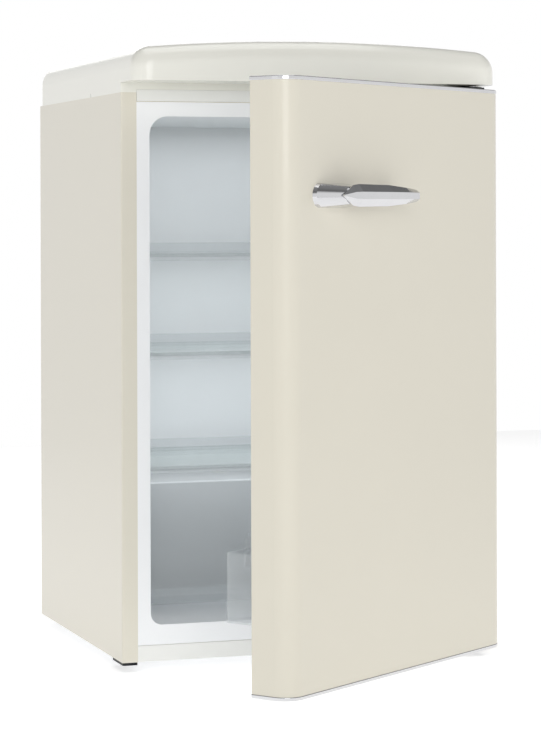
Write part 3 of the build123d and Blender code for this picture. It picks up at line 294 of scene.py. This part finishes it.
def clear(name, colour, body, haze):
    """Thin clear sheet or moulding: see-through face on, denser along its edges."""
    made = Finish(name, **{"IOR": 1.5, "Specular IOR Level": 0.8})
    cloud = made.noise(24.0, 2.0)
    edge = Wire(made, made.add("ShaderNodeLayerWeight", {}, {"Blend": 0.35}).outputs["Facing"])
    made.tint(cloud, shade(colour, 0.97), colour)
    made.roughness(haze + 0.04 * cloud)
    made.relief(made.noise(30.0, 1.0), 0.00003)
    made.feed(made.shader, "Alpha", body + 0.5 * edge * edge)
    return made.material


def soft_rubber(name, colour):
    """Matt extruded rubber, slightly dusty."""
    made = Finish(name, **{"Specular IOR Level": 0.35, "Sheen Weight": 0.1})
    dust = made.noise(60.0, 4.0)
    made.tint(dust, shade(colour, 0.92), shade(colour, 1.12))
    made.roughness(0.62 + 0.14 * dust)
    made.relief(made.noise(1100.0, 3.0), 0.00003)
    return made.material


def foamed(name, colour):
    """Cut rigid foam with open cells."""
    made = Finish(name, **{"Specular IOR Level": 0.2})
    cell = made.cells(1200.0)
    made.tint(cell, shade(colour, 0.82), shade(colour, 1.08))
    made.roughness(0.86 + 0.08 * cell)
    made.relief(cell, 0.0002)
    return made.material


FINISHES = {}


def make_finishes(sizes):
    """Every finish of the fridge, made once."""
    paint = tuple(sizes.paint_colour)
    FINISHES.update(
        cream_steel=painted("cream_enamel", paint),
        cream_plastic=painted("cream_cover_gloss", tuple(sizes.cover_colour), 0.26, 0.45),
        rear_steel=painted("rear_enamel", shade(paint, 0.96), 0.46, 0.05),
        zinc_steel=plated("zinc_sheet", srgb(190, 192, 194)),
        white_plastic=moulded("white_moulding", srgb(240, 240, 236)),
        liner_plastic=liner_sheet("white_liner_sheet", tuple(sizes.liner_colour)),
        foam=foamed("rigid_foam", srgb(232, 220, 176)),
        dark_steel=plated("black_zinc", srgb(52, 52, 54), 240.0, 0.42),
        bright_steel=turned("bright_steel", srgb(200, 200, 202)),
        black_plastic=moulded("black_moulding", srgb(38, 38, 40), 0.5, 1100.0, 0.00005),
        rubber=soft_rubber("black_rubber", srgb(44, 44, 44)),
        gasket_rubber=soft_rubber("gasket_rubber", srgb(222, 222, 218)),
        black_steel=painted("black_shell_enamel", srgb(24, 24, 26), 0.22, 0.5),
        copper=turned("drawn_copper", srgb(200, 124, 84), 0.26),
        aluminium=turned("roll_bonded_aluminium", srgb(205, 206, 208), 0.34),
        chrome=chromed("chrome_plate", tuple(sizes.chrome_colour)),
        clear_plastic=clear("clear_moulding", srgb(236, 242, 245), 0.16, 0.05),
        glass=clear("toughened_glass", srgb(214, 228, 226), 0.14, 0.03),
    )


def finish_nodes(*names):
    """Gives CAD nodes the finish of their own material slot."""
    slots = {row["node"]: row["material_slot"] for row in frame["record"]["subparts"]}
    for name in names:
        NODES[name].data.materials.clear()
        NODES[name].data.materials.append(FINISHES[slots[name]])


# ---- mesh tools ---------------------------------------------------------------------------------
def on_door(x, y, z):
    """A point of the closed door, turned to where the door stands open."""
    cosine, sine = math.cos(DOOR_ANGLE), math.sin(DOOR_ANGLE)
    return Vector((HINGE_X + x * cosine - y * sine, HINGE_Y + x * sine + y * cosine, z))


def piece(name, form, body, slot):
    """Turns a mesh under construction into a finished piece on its body."""
    bmesh.ops.remove_doubles(form, verts=form.verts, dist=1e-6)
    bmesh.ops.recalc_face_normals(form, faces=form.faces)
    mesh = bpy.data.meshes.new(name)
    form.to_mesh(mesh)
    form.free()
    made = bpy.data.objects.new(name, mesh)
    bpy.context.scene.collection.objects.link(made)
    mesh.materials.append(FINISHES[slot])
    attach(made, body)
    return made


def skin_rings(form, rings, close_ends):
    """Faces between neighbouring rings of points, with flat ends or joined round."""
    rows = [[form.verts.new(point) for point in ring] for ring in rings]
    pairs = list(zip(rows, rows[1:]))
    if close_ends:
        form.faces.new(rows[0])
        form.faces.new(rows[-1])
    else:
        pairs.append((rows[-1], rows[0]))
    for one, two in pairs:
        count = len(one)
        for i in range(count):
            j = (i + 1) % count
            form.faces.new((one[i], one[j], two[j], two[i]))


def rounded_path(left, right, low, high, radius, steps):
    """Points and outward directions round a rectangle with rounded corners."""
    path = []
    corners = (
        (right - radius, high - radius, 0),
        (left + radius, high - radius, 90),
        (left + radius, low + radius, 180),
        (right - radius, low + radius, 270),
    )
    for x, z, start in corners:
        for step in range(steps + 1):
            angle = math.radians(start + 90 * step / steps)
            out = (math.cos(angle), math.sin(angle))
            path.append((x + radius * out[0], z + radius * out[1], out))
    return path


# ---- settings -----------------------------------------------------------------------------------
class FridgeSizes(bpy.types.PropertyGroup):
    """Sizes and colours that a user of the fridge would change."""

    paint_colour: bpy.props.FloatVectorProperty(
        name="Paint", description="Colour of the door and the cabinet sides",
        default=srgb(225, 220, 205), size=3, min=0, max=1, subtype="COLOR",
    )
    cover_colour: bpy.props.FloatVectorProperty(
        name="Cover", description="Colour of the domed top cover",
        default=srgb(241, 240, 231), size=3, min=0, max=1, subtype="COLOR",
    )
    liner_colour: bpy.props.FloatVectorProperty(
        name="Liner", description="Colour of the inside",
        default=srgb(247, 248, 249), size=3, min=0, max=1, subtype="COLOR",
    )
    chrome_colour: bpy.props.FloatVectorProperty(
        name="Chrome", description="Colour of the bright trims and the handle",
        default=srgb(214, 214, 216), size=3, min=0, max=1, subtype="COLOR",
    )
    seal_lip: bpy.props.FloatProperty(
        name="Seal lip", description="Width of the door seal's face",
        default=0.014, min=0.008, max=0.02, subtype="DISTANCE", unit="LENGTH",
    )
    dial_mark: bpy.props.FloatProperty(
        name="Dial mark", description="Length of one mark round the thermostat knob",
        default=0.004, min=0.002, max=0.006, subtype="DISTANCE", unit="LENGTH",
    )
    lens: bpy.props.FloatProperty(
        name="Lens", description="Focal length of the camera in millimetres",
        default=124.33, min=20, max=300,
    )
    key_power: bpy.props.FloatProperty(
        name="Key power", description="Power that the soft boxes take their shares of",
        default=14.0, min=0, unit="POWER",
    )
    lamp_power: bpy.props.FloatProperty(
        name="Inside light", description="Power of the soft light in each compartment",
        default=0.28, min=0, unit="POWER",
    )


def sizes():
    """The fridge's settings in this scene."""
    return bpy.context.scene.mini_fridge


# ---- operators ----------------------------------------------------------------------------------
class FRIDGE_OT_stage(bpy.types.Operator):
    """Make the camera, the soft lights and the pale floor"""

    bl_idname = "fridge.stage"
    bl_label = "Stage"

    def execute(self, context):
        self.camera(context.scene)
        self.world(context.scene)
        self.lights(context.scene)
        self.floor(context.scene)
        return {"FINISHED"}

    def camera(self, scene):
        """A long lens at the height of the door's upper half, looking along the level."""
        yaw, roll = CAMERA_YAW, CAMERA_ROLL
        forward = Vector((math.sin(yaw), math.cos(yaw), 0))
        level = Vector((math.cos(yaw), -math.sin(yaw), 0))
        upright = Vector((0, 0, 1))
        right = math.cos(roll) * level + math.sin(roll) * upright
        above = math.cos(roll) * upright - math.sin(roll) * level
        data = bpy.data.cameras.new("camera")
        data.sensor_width = 36
        data.lens = sizes().lens
        data.shift_y = CAMERA_SHIFT
        camera = bpy.data.objects.new("camera", data)
        turn = Matrix((right, above, -forward)).transposed().to_4x4()
        camera.matrix_world = Matrix.Translation(CAMERA_PLACE) @ turn
        scene.collection.objects.link(camera)
        scene.camera = camera

    def world(self, scene):
        """White surroundings that grow darker overhead, so that bright metal has contrast."""
        world = bpy.data.worlds.new("studio")
        maker = NodeMaker(world)
        place = maker.add("ShaderNodeTexCoord").outputs["Generated"]
        height = maker.add("ShaderNodeSeparateXYZ", {}, {0: place}).outputs["Z"]
        stops = [(position, (level, level, level)) for position, level in SKY_LEVELS]
        level = maker.add("ShaderNodeValToRGB", {"stops": stops}, {0: height}).outputs[0]
        sky = maker.add("ShaderNodeBackground", {}, {"Color": level, "Strength": SKY_STRENGTH})
        plain = maker.add("ShaderNodeBackground", {}, {"Color": (1.0, 1.0, 1.0)})
        direct = maker.add("ShaderNodeLightPath").outputs["Is Camera Ray"]
        both = maker.add(
            "ShaderNodeMixShader", {}, {0: direct, 1: sky.outputs[0], 2: plain.outputs[0]}
        )
        maker.add("ShaderNodeOutputWorld", {}, {"Surface": both.outputs[0]})
        scene.world = world
        scene.view_settings.view_transform = "Standard"

    def lights(self, scene):
        """Soft boxes in front, at the left, overhead and behind, and one light in each compartment."""
        for name, place, side, share in SOFT_BOXES:
            light = self.area(scene, name, place, sizes().key_power * share)
            light.data.size = side
            aim = Vector(LIGHT_AIM) - Vector(place)
            light.rotation_euler = aim.to_track_quat("-Z", "Y").to_euler()
        for height, share in INSIDE_LIGHTS:
            light = self.area(scene, "inside_glow", (0.0, 0.25, height), sizes().lamp_power * share)
            light.data.shape = "RECTANGLE"
            light.data.size, light.data.size_y = 0.36, 0.26
            light.data.color = INSIDE_COLOUR
            light.visible_camera = False

    def area(self, scene, name, place, power):
        """An area light of a given power."""
        data = bpy.data.lights.new(name, "AREA")
        data.energy = power
        light = bpy.data.objects.new(name, data)
        light.location = place
        scene.collection.objects.link(light)
        return light

    def floor(self, scene):
        """A wide pale floor with a soft, dry surface."""
        glow = {"Emission Color": (1.0, 1.0, 1.0), "Emission Strength": FLOOR_GLOW}
        made = Finish("studio_floor", **glow)
        cloud = made.noise(1.5, 2.0)
        made.tint(cloud, (0.93, 0.93, 0.93), (0.95, 0.95, 0.95))
        made.roughness(0.9 + 0.05 * cloud)
        half = FLOOR_HALF
        form = bmesh.new()
        corners = ((-half, -half), (half, -half), (half, half), (-half, half))
        form.faces.new([form.verts.new((x, y, 0)) for x, y in corners])
        mesh = bpy.data.meshes.new("floor")
        form.to_mesh(mesh)
        form.free()
        mesh.materials.append(made.material)
        floor = bpy.data.objects.new("floor", mesh)
        scene.collection.objects.link(floor)


class FRIDGE_OT_finishes(bpy.types.Operator):
    """Make every paint, plastic, metal and glass of the fridge"""

    bl_idname = "fridge.finishes"
    bl_label = "Finishes"

    def execute(self, context):
        make_finishes(sizes())
        return {"FINISHED"}


class FRIDGE_OT_cabinet(bpy.types.Operator):
    """Finish the outer sheets, the top cover, the feet and the hinges"""

    bl_idname = "fridge.cabinet"
    bl_label = "Cabinet"

    def execute(self, context):
        finish_nodes(
            "left_side_panel", "right_side_panel", "roof_deck", "back_panel", "cabinet_floor",
            "front_plinth", "front_top_rail", "top_cover", "cover_screws", "upper_hinge",
            "lower_hinge", "hinge_pins", "hinge_screws", "corner_bracket", "foot_nuts",
            "left_front_foot", "right_front_foot", "rear_feet", "wall_spacers", "cabinet_foam",
        )
        return {"FINISHED"}


class FRIDGE_OT_cooling(bpy.types.Operator):
    """Finish the compressor, its pipes and the pieces behind the liner"""

    bl_idname = "fridge.cooling"
    bl_label = "Cooling"

    def execute(self, context):
        finish_nodes(
            "compressor", "compressor_bolts", "compressor_grommets", "compressor_plate",
            "relay_cover", "drain_tray", "drain_spout", "power_inlet_gland", "filter_dryer",
            "refrigerant_lines", "evaporator_plate", "condenser_coil",
        )
        return {"FINISHED"}


class FRIDGE_OT_inside(bpy.types.Operator):
    """Finish the liner, the shelves, the drawer, the thermostat and the lamp"""

    bl_idname = "fridge.inside"
    bl_label = "Inside"

    def execute(self, context):
        finish_nodes(
            "inner_liner", "upper_shelf", "upper_shelf_trims", "lower_shelf",
            "lower_shelf_trims", "crisper_cover", "crisper_cover_trims", "crisper_drawer",
            "thermostat_housing", "thermostat_knob", "lamp_lens", "lamp_bulb",
        )
        return {"FINISHED"}


class FRIDGE_OT_door(bpy.types.Operator):
    """Finish the door, its trims, its bins and its handle"""

    bl_idname = "fridge.door"
    bl_label = "Door"

    def execute(self, context):
        finish_nodes(
            "door_skin", "door_foam", "door_liner", "door_gasket", "door_top_trim",
            "door_bottom_trim", "door_end_caps", "hinge_bushes", "bottle_bin", "bottle_guard",
            "middle_bin", "upper_bin", "handle_pod", "handle_grip", "handle_post",
            "handle_screws",
        )
        return {"FINISHED"}


class FRIDGE_OT_dial(bpy.types.Operator):
    """Build the marks round the thermostat knob and the pointer on it"""

    bl_idname = "fridge.dial"
    bl_label = "Thermostat dial"

    def execute(self, context):
        low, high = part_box("thermostat_knob")
        centre = (low + high) / 2
        radius = (high.z - low.z) / 2
        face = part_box("thermostat_housing")[0].x
        marks = bmesh.new()
        for step in range(7):
            self.bar(
                marks, face, centre, math.radians(-150 + 50 * step),
                radius + 0.002, radius + 0.002 + sizes().dial_mark, 0.0005,
            )
        piece("dial_marks", marks, "cabinet", "black_plastic")
        pointer = bmesh.new()
        self.bar(pointer, low.x, centre, 0.0, radius * 0.35, radius * 0.85, 0.0008)
        piece("knob_pointer", pointer, "thermostat_knob", "black_plastic")
        return {"FINISHED"}

    def bar(self, form, face, centre, angle, near, far, half):
        """A tapered raised bar on a face that looks along -X, pointing away from a centre."""
        proud = 0.0003
        out = Vector((0, -math.sin(angle), math.cos(angle)))
        side = Vector((0, math.cos(angle), math.sin(angle)))
        foot = Vector((face, centre.y, centre.z))
        rings = []
        for lift, narrow in ((0.0, 1.0), (-proud * 0.6, 1.0), (-proud, 0.6)):
            up = Vector((lift, 0, 0))
            wide = half * narrow
            rings.append([
                foot + up + out * near + side * wide,
                foot + up + out * far + side * wide * 0.7,
                foot + up + out * far - side * wide * 0.7,
                foot + up + out * near - side * wide,
            ])
        skin_rings(form, rings, True)


class FRIDGE_OT_seal(bpy.types.Operator):
    """Build the door's magnetic seal with its bellows, in place of the plain ring"""

    bl_idname = "fridge.seal"
    bl_label = "Door seal"

    def execute(self, context):
        lip = sizes().seal_lip
        inset, root, tip = 0.014, 0.0285, 0.0362
        left, right = DOOR_LEFT + inset, DOOR_RIGHT - inset
        waist = (root + tip) / 2
        section = (
            (0.0030, root), (0.0040, waist - 0.0009), (0.0022, waist), (0.0006, tip - 0.0012),
            (0.0008, tip - 0.0003), (0.0022, tip), (lip - 0.0022, tip),
            (lip - 0.0008, tip - 0.0003), (lip - 0.0006, tip - 0.0012),
            (lip - 0.0022, waist), (lip - 0.0040, waist - 0.0009), (lip - 0.0030, root),
        )
        form = bmesh.new()
        rings = [
            [on_door(x - out[0] * inward, depth, z - out[1] * inward) for inward, depth in section]
            for x, z, out in rounded_path(left, right, SEAL_LOW, SEAL_HIGH, 0.012 + lip, 8)
        ]
        skin_rings(form, rings, False)
        seal = piece("door_seal", form, "door", "gasket_rubber")
        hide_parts("door_gasket")
        return {"FINISHED"}


class FRIDGE_PT_panel(bpy.types.Panel):
    """The fridge's settings and the operators that build it"""

    bl_idname = "FRIDGE_PT_panel"
    bl_label = "Mini fridge"
    bl_space_type = "VIEW_3D"
    bl_region_type = "UI"
    bl_category = "Mini fridge"

    def draw(self, context):
        column = self.layout.column(align=True)
        for name in FridgeSizes.__annotations__:
            column.prop(context.scene.mini_fridge, name)
        for operator in OPERATORS:
            column.operator(operator.bl_idname)


OPERATORS = (
    FRIDGE_OT_stage,
    FRIDGE_OT_finishes,
    FRIDGE_OT_cabinet,
    FRIDGE_OT_cooling,
    FRIDGE_OT_inside,
    FRIDGE_OT_door,
    FRIDGE_OT_dial,
    FRIDGE_OT_seal,
)
CLASSES = (FridgeSizes, *OPERATORS, FRIDGE_PT_panel)


def register():
    """Adds the settings, the operators and the panel."""
    for item in CLASSES:
        bpy.utils.register_class(item)
    bpy.types.Scene.mini_fridge = bpy.props.PointerProperty(type=FridgeSizes)


def unregister():
    """Takes them away again."""
    del bpy.types.Scene.mini_fridge
    for item in reversed(CLASSES):
        bpy.utils.unregister_class(item)


def main():
    """Builds everything in order."""
    register()
    bpy.ops.fridge.stage()
    bpy.ops.fridge.finishes()
    bpy.ops.fridge.cabinet()
    bpy.ops.fridge.cooling()
    bpy.ops.fridge.inside()
    bpy.ops.fridge.door()
    bpy.ops.fridge.dial()
    bpy.ops.fridge.seal()


if __name__ == "__main__":
    main()
